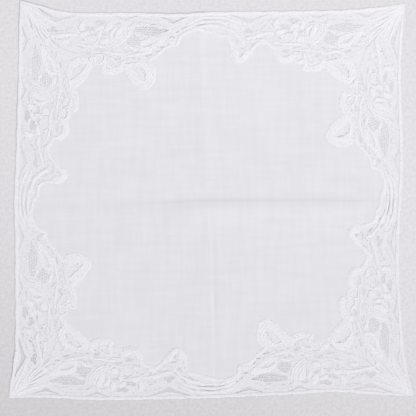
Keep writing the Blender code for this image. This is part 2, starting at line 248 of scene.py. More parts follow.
# Gaps: shape, along, inwards, half length, half width, turn in degrees
gaps = (
    ("gull", 28.0, 2.5, 10.5, 4.9, 0), ("gull", 65.6, 2.3, 9.4, 4.0, 0),
    ("gull", 119.6, 2.3, 15.4, 6.6, 0),
    ("bean", 85.0, 7.3, 4.5, 2.0, -3), ("bean", 91.2, 12.0, 3.9, 1.8, -12),
    ("bean", 119.6, 15.4, 4.2, 2.0, 8), ("bean", 113.0, 15.0, 1.6, 0.8, 10),
    ("bean", 109.3, 13.7, 1.5, 0.8, 30), ("bean", 106.2, 11.6, 1.4, 0.9, 40),
    ("bean", 40.2, 48.4, 2.4, 0.6, -53), ("bean", 43.4, 43.8, 1.5, 0.34, -50),
    ("bean", 47.4, 38.9, 3.0, 0.9, -4), ("bean", 88.9, 31.0, 3.3, 1.3, -8),
    ("bean", 31.6, 25.8, 1.7, 0.6, 18), ("bean", 34.2, 29.0, 2.0, 0.65, 0),
    ("bean", 40.5, 32.7, 2.8, 1.0, 14), ("bean", 47.2, 35.2, 1.5, 0.75, -15),
    ("bean", 52.2, 35.1, 1.8, 0.6, -8), ("bean", 56.2, 36.0, 1.3, 0.65, -20),
    ("bean", 59.3, 29.6, 2.5, 1.0, -30), ("bean", 70.8, 27.2, 1.4, 1.0, -45),
    ("bean", 68.2, 29.4, 1.0, 0.6, -10), ("bean", 80.8, 28.2, 3.2, 1.1, 6),
    ("bean", 64.3, 35.4, 3.2, 1.4, 25), ("bean", 62.0, 38.6, 1.0, 0.8, 0),
    ("bean", 94.6, 26.4, 2.4, 0.6, -10), ("bean", 95.2, 20.6, 1.3, 1.1, 0),
    ("bean", 87.6, 16.6, 2.2, 0.8, 12), ("bean", 79.0, 16.2, 2.2, 1.2, 10),
    ("bean", 70.3, 8.6, 2.4, 0.8, 8), ("bean", 59.6, 8.6, 2.2, 0.7, 28),
    ("bean", 106.0, 19.6, 1.1, 0.7, 0), ("bean", 112.4, 21.4, 2.4, 0.55, 8),
    ("bean", 128.0, 22.9, 2.5, 0.8, -52), ("bean", 123.2, 28.6, 2.4, 0.8, 0),
    ("bean", 124.0, 33.0, 1.1, 1.2, 0), ("bean", 25.4, 18.0, 1.7, 0.9, -10),
    ("bean", 22.6, 14.2, 1.1, 0.7, 30),
)
# Gaps of the second repeat alone, between the cords at the waist, and one at each corner
waistGaps = (
    ("bean", 18.4, 11.2, 2.3, 0.4, 22), ("bean", 12.0, 9.5, 2.2, 0.3, 10),
    ("bean", 15.6, 7.4, 1.2, 0.35, 16), ("bean", 5.0, 5.0, 3.6, 0.26, 0),
    ("bean", 4.0, 8.8, 3.4, 0.28, -3),
)
# Thin slits between the petals of the rose and along the stems
slits = (
    ("bean", 60.4, 15.6, 3.4, 0.34, 112), ("bean", 63.0, 16.0, 3.6, 0.34, 106),
    ("bean", 65.2, 17.6, 2.6, 0.3, 104), ("bean", 71.4, 16.6, 3.0, 0.4, 92),
    ("bean", 68.6, 21.7, 2.2, 0.5, 8), ("bean", 75.6, 13.2, 0.4, 1.7, 0),
    ("bean", 81.6, 23.2, 0.4, 1.6, 10), ("bean", 78.0, 25.0, 1.9, 0.36, -6),
    ("bean", 91.4, 24.4, 1.6, 0.36, -12), ("bean", 100.0, 11.0, 0.4, 2.2, 8),
    ("bean", 99.0, 19.4, 1.8, 0.4, 20), ("bean", 103.6, 24.8, 2.0, 0.4, -24),
    ("bean", 117.0, 21.8, 1.8, 0.34, 14), ("bean", 115.6, 26.4, 2.0, 0.36, 42),
    ("bean", 131.0, 13.8, 2.2, 0.36, -30), ("bean", 136.6, 15.4, 2.2, 0.34, -24),
    ("bean", 51.6, 30.8, 2.4, 0.34, 10), ("bean", 55.0, 29.6, 1.9, 0.34, -14),
    ("bean", 43.0, 8.6, 2.6, 0.34, 0), ("bean", 53.6, 7.6, 2.2, 0.34, 6),
    ("bean", 37.0, 36.8, 1.6, 0.4, 30), ("bean", 60.4, 41.6, 0.4, 1.8, 20),
    ("bean", 70.2, 41.6, 2.2, 0.4, -12), ("bean", 101.6, 6.2, 1.2, 0.4, 0),
)
cornerGap = ((30.8, 34.6), (34.6, 35.2), (38.8, 37.0), (35.6, 39.0), (32.6, 41.8), (31.6, 38.0))

# Thin curved slits between the strands that fan out from a corner: their line, half width.
# At a length's end the places run from that end
cornerSlits = (
    (((11.0, 7.2), (15.6, 9.4), (20.4, 11.2)), 0.3),
    (((13.6, 10.8), (18.2, 13.8), (23.4, 17.0), (27.6, 19.6)), 0.42),
    (((15.0, 14.2), (19.4, 18.0), (24.8, 22.8), (30.4, 27.4)), 0.36),
    (((22.2, 24.0), (26.2, 28.6), (29.2, 33.0)), 0.4),
)
endSlits = (
    (((13.2, 9.4), (18.0, 12.4), (23.6, 15.4)), 0.34),
    (((16.6, 15.0), (20.4, 18.6), (24.4, 23.0)), 0.34),
)
# Dense strands between those slits, at a length's start and mirrored at its end
cornerStrands = (
    (((3.0, 2.0), (12.0, 5.4), (20.0, 8.2), (29.0, 10.2)), 0.8),
    (((3.0, 2.5), (11.6, 8.6), (18.0, 12.2), (25.0, 15.4)), 0.65),
    (((4.0, 3.6), (12.0, 10.9), (17.6, 14.9), (22.6, 18.9), (28.6, 23.4)), 0.65),
    (((13.4, 13.3), (18.6, 18.7), (23.8, 24.2), (28.6, 29.0)), 0.5),
)
# Dense strands that run through a length's waist, and the slits between them
waistStrands = (
    (((127.0, 9.4), (134.0, 6.6), (142.0, 4.7), (150.0, 4.3), (158.0, 4.6), (164.0, 6.0), (170.0, 9.0)), 0.75),
    (((127.0, 13.0), (134.0, 10.0), (142.0, 7.9), (150.0, 7.3), (158.0, 7.8), (165.0, 9.8), (172.0, 13.4)), 0.75),
    (((129.0, 16.4), (135.0, 13.6), (142.0, 11.4), (150.0, 10.5), (158.0, 10.8), (166.0, 13.2), (173.0, 17.4)), 0.8),
)
waistSlits = (
    (((132.0, 8.8), (140.0, 6.4), (150.0, 5.8), (158.0, 6.2), (165.0, 8.2)), 0.34),
    (((133.0, 12.1), (141.0, 9.6), (150.0, 8.9), (159.0, 9.4), (167.0, 12.4)), 0.38),
)

# Windows of open net
netWindows = (
    (
        (29.2, 13.2), (33.0, 12.0), (36.6, 11.7), (40.0, 10.6), (46.0, 10.3), (51.4, 10.8),
        (56.6, 11.9), (56.4, 14.6), (52.0, 15.4), (46.6, 17.0), (41.4, 17.6), (37.0, 16.5),
        (33.4, 14.7),
    ),
    (
        (56.4, 16.8), (58.0, 19.8), (60.2, 21.6), (59.6, 24.2), (56.4, 24.8), (52.6, 26.0),
        (50.4, 24.6), (48.0, 22.4), (49.8, 20.0), (53.2, 18.6),
    ),
)

# Rows of small eyelets: points of the row's line, distance between eyelets
eyeletRows = (
    (((39.5, 5.4), (46.0, 4.6), (54.0, 4.8), (58.5, 6.4)), 2.1),
    (((33.0, 9.4), (40.0, 8.0), (48.0, 7.4), (56.0, 8.0)), 2.1),
    (((74.6, 4.6), (78.0, 5.2), (79.6, 8.2)), 1.9),
    (((93.0, 4.4), (98.0, 4.6), (103.0, 5.2), (108.0, 7.2), (113.0, 9.6)), 2.0),
    (((98.5, 8.2), (102.6, 9.6), (104.0, 13.6)), 2.0),
    (((127.0, 8.6), (131.6, 6.4), (137.0, 5.0), (143.6, 4.6)), 2.2),
    (((126.0, 12.0), (131.6, 10.4), (137.4, 8.6), (144.0, 7.8)), 2.2),
    (((44.0, 20.0), (47.0, 26.2), (46.4, 30.6)), 1.9),
    (((62.0, 25.6), (66.0, 26.2), (67.4, 27.0)), 1.9),
    (((100.6, 20.6), (102.6, 22.6)), 1.9),
    (((115.6, 24.6), (119.6, 25.2), (122.6, 24.6)), 1.9),
)


def arc(along, inwards, radius, start, end):
    angles = np.radians(np.linspace(start, end, 7))
    return tuple(zip(along + radius * np.cos(angles), inwards + radius * np.sin(angles)))


# Leaves and petals, between two edges from base to tip: one edge, the other edge, width of
# the dense rim, and how many veins run out to each side of the open middle
leaves = (
    (
        ((46.0, 37.6), (40.6, 38.8), (36.4, 41.4), (34.2, 45.4), (33.6, 50.4), (34.8, 55.2), (38.2, 58.2)),
        ((58.0, 39.6), (57.4, 43.0), (54.4, 46.8), (50.6, 50.4), (46.2, 53.6), (42.0, 56.4), (38.8, 58.2)),
        6.0, 7,
    ),
    (
        ((49.0, 29.6), (44.6, 29.6), (39.6, 28.4), (35.4, 25.2), (31.4, 21.4), (28.4, 18.0)),
        ((49.4, 26.6), (48.4, 22.0), (43.8, 19.2), (38.0, 18.0), (33.4, 17.2), (28.8, 17.4)),
        3.8, 6,
    ),
    (
        ((58.0, 37.4), (58.0, 42.0), (61.4, 44.6), (67.0, 46.2), (72.0, 46.0), (75.2, 45.0)),
        ((60.6, 37.2), (61.2, 40.6), (64.4, 42.4), (68.6, 43.4), (72.4, 43.6), (75.2, 44.4)),
        3.0, 0,
    ),
    (
        ((66.0, 40.6), (68.4, 42.4), (71.6, 41.0), (73.6, 38.0), (76.0, 35.6)),
        ((64.6, 38.0), (66.6, 36.6), (69.6, 35.0), (72.6, 33.6), (75.6, 33.0)),
        1.8, 3,
    ),
    (
        ((74.6, 32.0), (73.8, 35.4), (75.2, 38.6), (78.0, 39.8)),
        ((82.6, 31.6), (83.4, 35.4), (81.8, 38.6), (78.8, 39.8)),
        1.7, 3,
    ),
    (
        ((83.2, 17.2), (82.4, 20.4), (84.0, 23.6), (87.6, 25.0)),
        ((91.6, 17.4), (93.8, 20.0), (92.6, 23.6), (88.6, 25.0)),
        1.4, 3,
    ),
)

# Smaller shapes of dense clothwork: spine from base to tip, half width, shape, open vein
clothwork = (
    (((69.8, 20.6), (68.2, 15.4), (65.8, 10.0)), 2.3, "round", 0.0),
    (arc(75.5, 11.5, 12.0, 112, 180), 0.85, "lens", 0.0),
    (arc(75.5, 11.5, 14.0, 108, 182), 0.85, "lens", 0.0),
    (arc(75.5, 11.5, 16.1, 104, 184), 1.0, "lens", 0.0),
    (((70.4, 11.0), (73.8, 14.4), (73.4, 18.6), (70.6, 21.6)), 1.1, "lens", 0.0),
    (((78.8, 13.8), (77.3, 10.6), (77.9, 7.2)), 2.1, "round", 0.0),
    (((80.6, 10.8), (84.0, 11.2), (87.2, 13.6)), 1.5, "round", 0.0),
    (((91.2, 15.4), (94.8, 15.9), (98.0, 17.0)), 1.6, "round", 0.0),
    (((97.4, 13.6), (98.8, 10.0), (97.4, 6.2)), 1.8, "round", 0.0),
    (((81.4, 21.8), (78.4, 22.1), (75.4, 21.6)), 2.5, "round", 0.0),
    (((83.2, 19.8), (83.2, 16.8), (82.8, 13.6)), 1.6, "round", 0.0),
    (((75.0, 27.0), (78.6, 25.9), (83.0, 25.5), (89.0, 25.9), (94.6, 24.8), (100.0, 23.6)), 0.6, "band", 0.0),
    (((83.6, 33.4), (85.8, 36.6), (90.2, 37.5), (94.6, 35.6), (96.8, 31.6)), 2.0, "band", 0.0),
    (((117.6, 29.6), (120.6, 33.6), (123.0, 36.4), (125.6, 37.6), (128.2, 35.6), (129.6, 32.2),
      (128.8, 28.8)), 1.9, "band", 0.0),
    (((126.2, 30.6), (127.6, 32.8), (126.2, 35.2)), 1.1, "lens", 0.0),
    (((99.4, 17.2), (104.4, 16.6), (110.0, 18.0), (116.0, 19.8), (121.6, 21.4)), 1.1, "band", 0.0),
    (((104.6, 23.4), (107.4, 22.8), (110.4, 23.6)), 1.4, "round", 0.0),
    (((122.0, 25.4), (125.6, 20.8), (130.0, 16.6), (136.0, 13.6), (143.0, 11.6)), 1.2, "band", 0.0),
    (((58.0, 33.0), (63.0, 31.8), (68.0, 31.6), (73.4, 30.2), (79.0, 31.4)), 0.6, "band", 0.0),
    (((50.4, 17.6), (53.4, 16.6), (56.0, 15.6)), 0.9, "lens", 0.0),
    (((50.6, 29.0), (54.0, 27.6), (58.6, 26.6)), 1.3, "lens", 0.0),
    (((22.0, 23.2), (24.4, 22.0), (27.4, 21.6)), 1.5, "round", 0.0),
    (((38.6, 28.6), (43.6, 30.6), (50.0, 32.4), (57.0, 33.2)), 0.8, "band", 0.0),
)

# Free cords: their points, and where they run: in both repeats, at a waist or at a corner
cords = (
    (((30.0, 31.0), (36.0, 34.0), (44.0, 36.9), (51.0, 36.8), (58.0, 37.8)), "both"),
    (((36.0, 30.6), (44.0, 33.8), (52.0, 33.7), (60.0, 33.6), (66.0, 33.6)), "both"),
    (((29.0, 22.6), (33.6, 27.2), (40.0, 30.6)), "both"),
    (((58.4, 42.0), (58.8, 36.4), (61.4, 31.6)), "both"),
    (((61.0, 27.4), (66.0, 25.0), (72.0, 24.4), (77.0, 26.0)), "both"),
    (((47.0, 9.0), (54.0, 9.6), (60.0, 11.0), (65.0, 9.2), (74.0, 9.6)), "both"),
    (((101.0, 14.4), (106.0, 14.6), (112.0, 17.6), (118.0, 18.8), (125.0, 16.6)), "both"),
    (((104.0, 9.6), (109.0, 11.6), (114.0, 13.0), (121.0, 12.2), (128.0, 12.6)), "both"),
    (((96.0, 28.6), (101.0, 27.0), (106.0, 25.8)), "both"),
    (((119.0, 28.0), (121.6, 30.6), (126.6, 29.6)), "both"),
    (((125.0, 24.6), (127.6, 26.6), (130.6, 26.0)), "both"),
    (((131.0, 22.0), (134.0, 17.6), (140.0, 14.6), (150.0, 12.6), (156.0, 11.4)), "first"),
    (((126.0, 17.0), (132.0, 12.8), (140.0, 9.2), (150.0, 7.2), (156.0, 6.8)), "first"),
    (((124.0, 13.4), (131.0, 10.8), (139.0, 7.0), (150.0, 4.2), (156.0, 3.9)), "first"),
    (((6.0, 3.8), (12.0, 5.0), (18.0, 8.2), (24.0, 12.6), (29.0, 17.0)), "waist"),
    (((6.0, 6.6), (12.0, 7.9), (18.0, 10.0), (22.0, 12.8), (25.0, 16.4), (28.0, 21.0)), "waist"),
    (((6.0, 10.8), (12.0, 11.0), (17.0, 13.2), (21.0, 16.4), (24.0, 20.0)), "waist"),
    (((0.6, 0.6), (12.0, 9.0), (22.0, 14.4), (29.0, 17.6)), "corner"),
    (((0.6, 0.6), (11.0, 10.0), (21.0, 17.8), (29.0, 24.0), (34.0, 28.0)), "corner"),
    (((0.6, 0.6), (10.4, 10.4), (19.6, 19.6), (27.6, 27.6), (34.0, 33.4), (40.0, 36.0)), "corner"),
    (((0.6, 0.6), (10.2, 10.6), (18.4, 20.0), (25.4, 29.0), (29.9, 37.0), (31.8, 45.0),
      (34.2, 52.2)), "corner"),
    (((4.0, 1.6), (14.0, 6.2), (24.0, 10.0), (30.0, 12.0)), "corner"),
)


# Working the chart up

def turned(points, along, inwards, turn):
    angle = math.radians(turn)
    c, s = math.cos(angle), math.sin(angle)
    points = np.asarray(points, float)
    return np.column_stack((
        along + c * points[:, 0] - s * points[:, 1],
        inwards + s * points[:, 0] + c * points[:, 1],
    ))


def gapLoop(shape, along, inwards, halfLength, halfWidth, turn):
    if shape == "gull":  # thin at both ends, its point towards the middle of the cloth
        points = np.array((
            (-1.0, 0.0), (-0.55, 0.18), (-0.16, 0.42), (0.16, 0.42), (0.55, 0.18), (1.0, 0.0),
            (0.62, 0.4), (0.34, 0.64), (0.1, 0.96), (-0.1, 0.96), (-0.34, 0.64), (-0.62, 0.4),
        ))
        points = points * (halfLength, halfWidth)
        return smoothLine(turned(points, along, inwards, turn), 0.9, closed=True)
    angles = np.linspace(0, 2 * math.pi, max(int(halfLength * 7), 10), endpoint=False)
    ragged = 1 + 0.2 * np.sin(3 * angles + along) + 0.14 * np.sin(5 * angles + inwards)
    x = halfLength * ragged * np.cos(angles)
    y = halfWidth * ragged * (np.sin(angles) + 0.25 * np.cos(angles) ** 2)
    return turned(np.column_stack((x, y)), along, inwards, turn)


def onLace(side, repeat, points):
    # moves places in the repeat to their place on one length, along and inwards
    points = np.array(points, float)
    firstShift, secondShift, lean = easing[side]
    if repeat == 0:
        points[:, 0] += firstShift
    else:
        points[:, 0] += cloth["repeat"] + secondShift + lean * points[:, 1]
    return points


def onSquare(side, places):
    along, inwards = places[:, 0], places[:, 1]
    far = cloth["side"]
    return np.column_stack({
        "bottom": (along, inwards),
        "right": (far - inwards, along),
        "top": (far - along, far - inwards),
        "left": (inwards, far - along),
    }[side])


joinDepths = smoothLine(cornerJoin, 1.0)


def onThisLength(places, room=0.0):
    # which places lie between the join at a length's start and the join at its end
    along, inwards = places[:, 0], places[:, 1]
    fromEnd = cloth["side"] - along
    deep = joinDepths[-1, 1]
    afterStart = along >= np.interp(inwards, joinDepths[:, 1], joinDepths[:, 0]) - room
    beforeEnd = inwards <= np.interp(fromEnd, joinDepths[:, 1], joinDepths[:, 0]) + room
    return (afterStart | (inwards > deep)) & (beforeEnd | (fromEnd > deep)) & (inwards > -0.5)


def scallops(side):
    # the length's inner edge, from its corner leaf to where the next corner leaf covers it
    first = onLace(side, 0, leafToPetals + petalsToWaist)
    second = onLace(side, 1, waistToLeaf + leafToPetals)
    line = np.concatenate((first, second))
    return line[cloth["side"] - line[:, 0] > cornerJoin[-1][1] + 0.6]


def insideLoop(points, loop):
    x, y = points[:, 0][:, None], points[:, 1][:, None]
    x1, y1 = loop[:, 0], loop[:, 1]
    x2, y2 = np.roll(x1, -1), np.roll(y1, -1)
    crosses = (y1 > y) != (y2 > y)
    slope = np.where(y2 == y1, 1.0, y2 - y1)
    return (crosses & (x < (x2 - x1) * (y - y1) / slope + x1)).sum(axis=1) % 2 == 1


def loopArea(loop):
    x, y = loop[:, 0], loop[:, 1]
    return 0.5 * abs(np.dot(x, np.roll(y, -1)) - np.dot(y, np.roll(x, -1)))


def nearest(points, others):
    return np.min(np.linalg.norm(points[:, None, :] - others[None, :, :], axis=2))


# Making pieces

def addMesh(name, points, faces, material, thickness=0.0, smooth=True):
    mesh = bpy.data.meshes.new(name)
    mesh.from_pydata([tuple(point) for point in points], [], [tuple(face) for face in faces])
    mesh.materials.append(material)
    if smooth:
        mesh.shade_smooth()
    piece = bpy.data.objects.new(name, mesh)
    bpy.context.scene.collection.objects.link(piece)
    if thickness:
        solidify = piece.modifiers.new("thickness", "SOLIDIFY")
        solidify.thickness = thickness * mm
        solidify.offset = 0.0
    return piece


def cutSheet(loops, lines):
    # fills the outline and leaves its holes, then cuts it along lines so that it can bend
    curve = bpy.data.curves.new("cutting", "CURVE")
    curve.dimensions = "2D"
    curve.fill_mode = "BOTH"
    for loop in loops:
        spline = curve.splines.new("POLY")
        spline.points.add(len(loop) - 1)
        spline.points.foreach_set("co", np.column_stack((loop, np.zeros(len(loop)), np.ones(len(loop)))).ravel())
        spline.use_cyclic_u = True
    drawn = bpy.data.objects.new("cutting", curve)
    bpy.context.scene.collection.objects.link(drawn)
    bpy.context.view_layer.update()
    mesh = bpy.data.meshes.new_from_object(drawn.evaluated_get(bpy.context.evaluated_depsgraph_get()))
    bpy.data.objects.remove(drawn)
    return bentSheet(mesh, lines)


def bentSheet(mesh, lines):
    work = bmesh.new()
    work.from_mesh(mesh)
    bmesh.ops.remove_doubles(work, verts=work.verts, dist=0.001)
    for axis, marks in enumerate(lines):
        normal = (1, 0, 0) if axis == 0 else (0, 1, 0)
        for mark in marks:
            geometry = work.verts[:] + work.edges[:] + work.faces[:]
            bmesh.ops.bisect_plane(
                work, geom=geometry, dist=0.0001, plane_co=[mark * n for n in normal], plane_no=normal
            )
    work.verts.index_update()
    points = np.array([vert.co[:2] for vert in work.verts])
    faces = [[vert.index for vert in face.verts] for face in work.faces]
    work.free()
    bpy.data.meshes.remove(mesh)
    return points, faces


def shapeWidth(shape, t):
    if shape == "leaf":
        return np.sin(math.pi * np.clip(t, 0, 1) ** 0.72) ** 0.75
    if shape == "round":
        return np.sqrt(np.clip(1 - (2 * t - 1) ** 2, 0, 1))
    if shape == "lens":
        return np.sin(math.pi * t) ** 0.8
    return np.clip(np.minimum(t, 1 - t) * 12, 0.25, 1)


clothworkLook = {
    "step": 0.62,  # size of a cell of clothwork
    "rib": 0.035,  # height of the ribs
    "ribStep": 1.3,  # distance between two ribs
    "leafRib": 0.1,  # the same for the ribs of a leaf, which show as its feathering
    "leafRibStep": 2.9,
    "dome": 0.1,  # how far the middle of a leaf stands up
    "lift": 0.17,
    "teeth": 0.25,  # how deep an edge is toothed, in millimetres
    "toothStep": 1.9,
    "thickness": 0.1,
}


def railsOf(spine, halfWidth, shape):
    # the two edges of a shape given by its spine
    line = smoothLine(spine, clothworkLook["step"])
    runs = np.gradient(line, axis=0)
    runs /= np.maximum(np.linalg.norm(runs, axis=1), 1e-6)[:, None]
    sideways = np.column_stack((-runs[:, 1], runs[:, 0]))
    passed = np.concatenate(([0], np.cumsum(np.linalg.norm(np.diff(line, axis=0), axis=1))))
    width = halfWidth * np.maximum(shapeWidth(shape, passed / passed[-1]), 0.04)
    return line - width[:, None] * sideways, line + width[:, None] * sideways


def evenRail(points, rows):
    # the same edge with its points at even shares of its length
    line = smoothLine(points, 0.4)
    passed = np.concatenate(([0], np.cumsum(np.linalg.norm(np.diff(line, axis=0), axis=1))))
    marks = np.linspace(0, passed[-1], rows)
    return np.column_stack([np.interp(marks, passed, line[:, axis]) for axis in (0, 1)])


def clothworkPatch(first, second, cells, vein=0.0, rim=0.0, teeth=None, toothStep=None):
    # rows from base to tip, cells across: places in the repeat, heights, faces and rim
    look = clothworkLook
    rows = len(first)
    middle = (first + second) / 2
    passed = np.concatenate(([0], np.cumsum(np.linalg.norm(np.diff(middle, axis=0), axis=1))))
    t = passed / passed[-1]
    apart = second - first
    width = np.maximum(np.linalg.norm(apart, axis=1), 1e-6)
    uneven = passed + 0.5 * np.sin(0.9 * passed)
    teeth = (teeth or look["teeth"]) * np.abs(np.sin(math.pi * uneven / (toothStep or look["toothStep"])))
    apart = apart * (1 + 2 * teeth / np.maximum(width, 1.0))[:, None]
    across = np.linspace(-1, 1, cells + 1)
    places = middle[:, None, :] + 0.5 * across[None, :, None] * apart[:, None, :]
    slant = passed[:, None] + 0.45 * width[:, None] * np.abs(across)[None, :]
    ribHeight, ribStep = (look["leafRib"], look["leafRibStep"]) if rim else (look["rib"], look["ribStep"])
    ribs = ribHeight * np.cos(2 * math.pi * slant / ribStep)
    rise = look["dome"] * np.minimum(width / 6, 1.0)[:, None] * (1 - across[None, :] ** 2)
    heights = look["lift"] + rise + ribs
    faces = []
    for row in range(rows - 1):
        for cell in range(cells):
            inwards = abs((across[cell] + across[cell + 1]) / 2)
            if inwards < vein and 0.2 < t[row] < 0.74:
                continue
            if rim and inwards < 1 - 2 * rim / width[row] and t[row] > 0.1:
                continue
            corner = row * (cells + 1) + cell
            faces.append((corner, corner + 1, corner + cells + 2, corner + cells + 1))
    edge = np.concatenate((places[:, 0], places[::-1, -1]))
    return places.reshape(-1, 2), heights.ravel(), faces, edge


def spinePatch(spine, halfWidth, shape, vein, teeth=None, toothStep=None):
    first, second = railsOf(spine, halfWidth, shape)
    cells = max(int(round(2 * halfWidth / clothworkLook["step"])), 3)
    return clothworkPatch(first, second, cells + cells % 2, vein, 0.0, teeth, toothStep)


def leafPatch(first, second, rim, veins):
    longest = max(np.linalg.norm(np.diff(np.array(rail), axis=0), axis=1).sum() for rail in (first, second))
    rows = int(longest / clothworkLook["step"]) + 2
    first, second = evenRail(first, rows), evenRail(second, rows)
    widest = np.linalg.norm(second - first, axis=1).max()
    return clothworkPatch(first, second, int(widest / 0.5) + 2, rim=rim)


def leafVeins(first, second, rim, veins):
    # veins slant outwards from the middle towards the tip
    rows = 60
    first, second = evenRail(first, rows), evenRail(second, rows)
    lines = []
    for vein in range(veins):
        start = int(rows * (0.1 + 0.62 * vein / veins))
        end = min(start + 9, rows - 1)
        root = (first[start] + second[start]) / 2
        for rail in (first, second):
            lines.append(smoothLine((root, 0.6 * root + 0.4 * rail[end - 3], rail[end]), 0.9))
    return lines


def addCords(name, runs, radius, material):
    # each run is a line on the flat square with its lift and its own share of the radius
    curve = bpy.data.curves.new(name, "CURVE")
    curve.dimensions = "3D"
    curve.bevel_depth = radius * mm
    curve.bevel_resolution = 0
    curve.use_fill_caps = True
    curve.twist_mode = "Z_UP"
    for line, lift, share, closed in runs:
        if len(line) < 2:
            continue
        laid = layOut(line, lift)
        spline = curve.splines.new("POLY")
        spline.points.add(len(laid) - 1)
        spline.points.foreach_set("co", np.column_stack((laid, np.ones(len(laid)))).ravel())
        spline.points.foreach_set("radius", np.full(len(laid), share))
        spline.use_cyclic_u = closed
    curve.materials.append(material)
    piece = bpy.data.objects.new(name, curve)
    bpy.context.scene.collection.objects.link(piece)
    return piece


def keptRuns(line, keep):
    # the stretches of a line that lie on this length
    runs, run = [], []
    for point, kept in zip(line, keep):
        if kept:
            run.append(point)
        elif len(run) > 1:
            runs.append(np.array(run))
            run = []
        else:
            run = []
    if len(run) > 1:
        runs.append(np.array(run))
    return runs


# Finishes

def newGroup(name, inputs, outputs):
    group = bpy.data.node_groups.new(name, "ShaderNodeTree")
    for label, kind, value in inputs:
        socket = group.interface.new_socket(name=label, in_out="INPUT", socket_type=kind)
        if value is not None:
            socket.default_value = value
    for label in outputs:
        group.interface.new_socket(name=label, in_out="OUTPUT", socket_type="NodeSocketFloat")
    nodes = group.nodes
    return group, nodes.new("NodeGroupInput"), nodes.new("NodeGroupOutput")


def mathNode(group, operation, first, second=None, third=None):
    node = group.nodes.new("ShaderNodeMath")
    node.operation = operation
    for index, value in enumerate((first, second, third)):
        if value is None:
            continue
        if isinstance(value, (int, float)):
            node.inputs[index].default_value = value
        else:
            group.links.new(value, node.inputs[index])
    return node.outputs[0]


def weaveGroup():
    # plain weave: threads over and under each other, and the pinholes between them
    group, inside, out = newGroup(
        "plainWeave",
        (("Vector", "NodeSocketVector", None), ("Threads", "NodeSocketFloat", 3000.0)),
        ("Height", "Pinholes"),
    )
    split = group.nodes.new("ShaderNodeSeparateXYZ")
    group.links.new(inside.outputs["Vector"], split.inputs[0])
    waves = []
    for axis in (0, 1):
        turn = mathNode(group, "MULTIPLY", split.outputs[axis], inside.outputs["Threads"])
        waves.append(mathNode(group, "SINE", mathNode(group, "MULTIPLY", turn, math.pi)))
    warp, weft = (mathNode(group, "ABSOLUTE", wave) for wave in waves)
    over = mathNode(group, "MULTIPLY_ADD", mathNode(group, "MULTIPLY", *waves), 0.35, 0.65)
    under = mathNode(group, "SUBTRACT", 1.3, over)
    height = mathNode(
        group, "MAXIMUM", mathNode(group, "MULTIPLY", warp, over), mathNode(group, "MULTIPLY", weft, under)
    )
    group.links.new(height, out.inputs["Height"])
    holes = mathNode(group, "SUBTRACT", 1.0, mathNode(group, "MAXIMUM", warp, weft))
    group.links.new(mathNode(group, "POWER", holes, 2.0), out.inputs["Pinholes"])
    return group


def slubGroup():
    # uneven yarns: faint streaks along both threads of the cloth
    group, inside, out = newGroup(
        "slubs",
        (("Vector", "NodeSocketVector", None), ("Spacing", "NodeSocketFloat", 260.0)),
        ("Streaks",),
    )
    streaks = []
    for stretch in ((0.1, 1.0, 1.0), (1.0, 0.1, 1.0)):
        mapping = group.nodes.new("ShaderNodeMapping")
        mapping.inputs["Scale"].default_value = stretch
        group.links.new(inside.outputs["Vector"], mapping.inputs["Vector"])
        noise = group.nodes.new("ShaderNodeTexNoise")
        noise.inputs["Detail"].default_value = 3.0
        noise.inputs["Roughness"].default_value = 0.65
        group.links.new(mapping.outputs["Vector"], noise.inputs["Vector"])
        group.links.new(inside.outputs["Spacing"], noise.inputs["Scale"])
        streaks.append(noise.outputs["Fac"])
    both = mathNode(group, "ADD", *streaks)
    group.links.new(mathNode(group, "MULTIPLY_ADD", both, 2.0, -1.5), out.inputs["Streaks"])
    return group


def meshGroup():
    # the lace ground: small lozenge holes between crossing threads
    group, inside, out = newGroup(
        "fineMesh",
        (("Vector", "NodeSocketVector", None), ("Pitch", "NodeSocketFloat", 0.0011)),
        ("Thread", "Height"),
    )
    split = group.nodes.new("ShaderNodeSeparateXYZ")
    group.links.new(inside.outputs["Vector"], split.inputs[0])
    total = mathNode(group, "ADD", split.outputs[0], split.outputs[1])
    apart = mathNode(group, "SUBTRACT", split.outputs[0], split.outputs[1])
    waves = []
    for value in (total, apart):
        turn = mathNode(group, "MULTIPLY", mathNode(group, "DIVIDE", value, inside.outputs["Pitch"]), math.pi)
        waves.append(mathNode(group, "ABSOLUTE", mathNode(group, "SINE", turn)))
    thread = mathNode(group, "SUBTRACT", 1.0, mathNode(group, "MINIMUM", *waves))
    group.links.new(thread, out.inputs["Height"])
    group.links.new(mathNode(group, "SMOOTH_MIN", mathNode(group, "POWER", thread, 1.4), 1.0, 0.1), out.inputs["Thread"])
    return group


def pinprickGroup():
    # stray pinholes of uneven size, and the uneven density of the work between them
    group, inside, out = newGroup(
        "pinpricks",
        (("Vector", "NodeSocketVector", None), ("Spacing", "NodeSocketFloat", 600.0)),
        ("Cover", "Density"),
    )
    cells = group.nodes.new("ShaderNodeTexVoronoi")
    cells.inputs["Randomness"].default_value = 0.9
    noise = group.nodes.new("ShaderNodeTexNoise")
    noise.inputs["Detail"].default_value = 2.0
    for node in (cells, noise):
        group.links.new(inside.outputs["Vector"], node.inputs["Vector"])
        group.links.new(inside.outputs["Spacing"], node.inputs["Scale"])
    size = mathNode(group, "MULTIPLY_ADD", noise.outputs["Fac"], 0.7, -0.12)
    beyond = mathNode(group, "SUBTRACT", cells.outputs["Distance"], size)
    cover = mathNode(group, "MULTIPLY_ADD", beyond, 7.0, 1.0)
    cover.node.use_clamp = True
    group.links.new(cover, out.inputs["Cover"])
    group.links.new(noise.outputs["Fac"], out.inputs["Density"])
    return group


groups = {
    "weave": weaveGroup(), "slubs": slubGroup(), "mesh": meshGroup(), "pinpricks": pinprickGroup(),
}


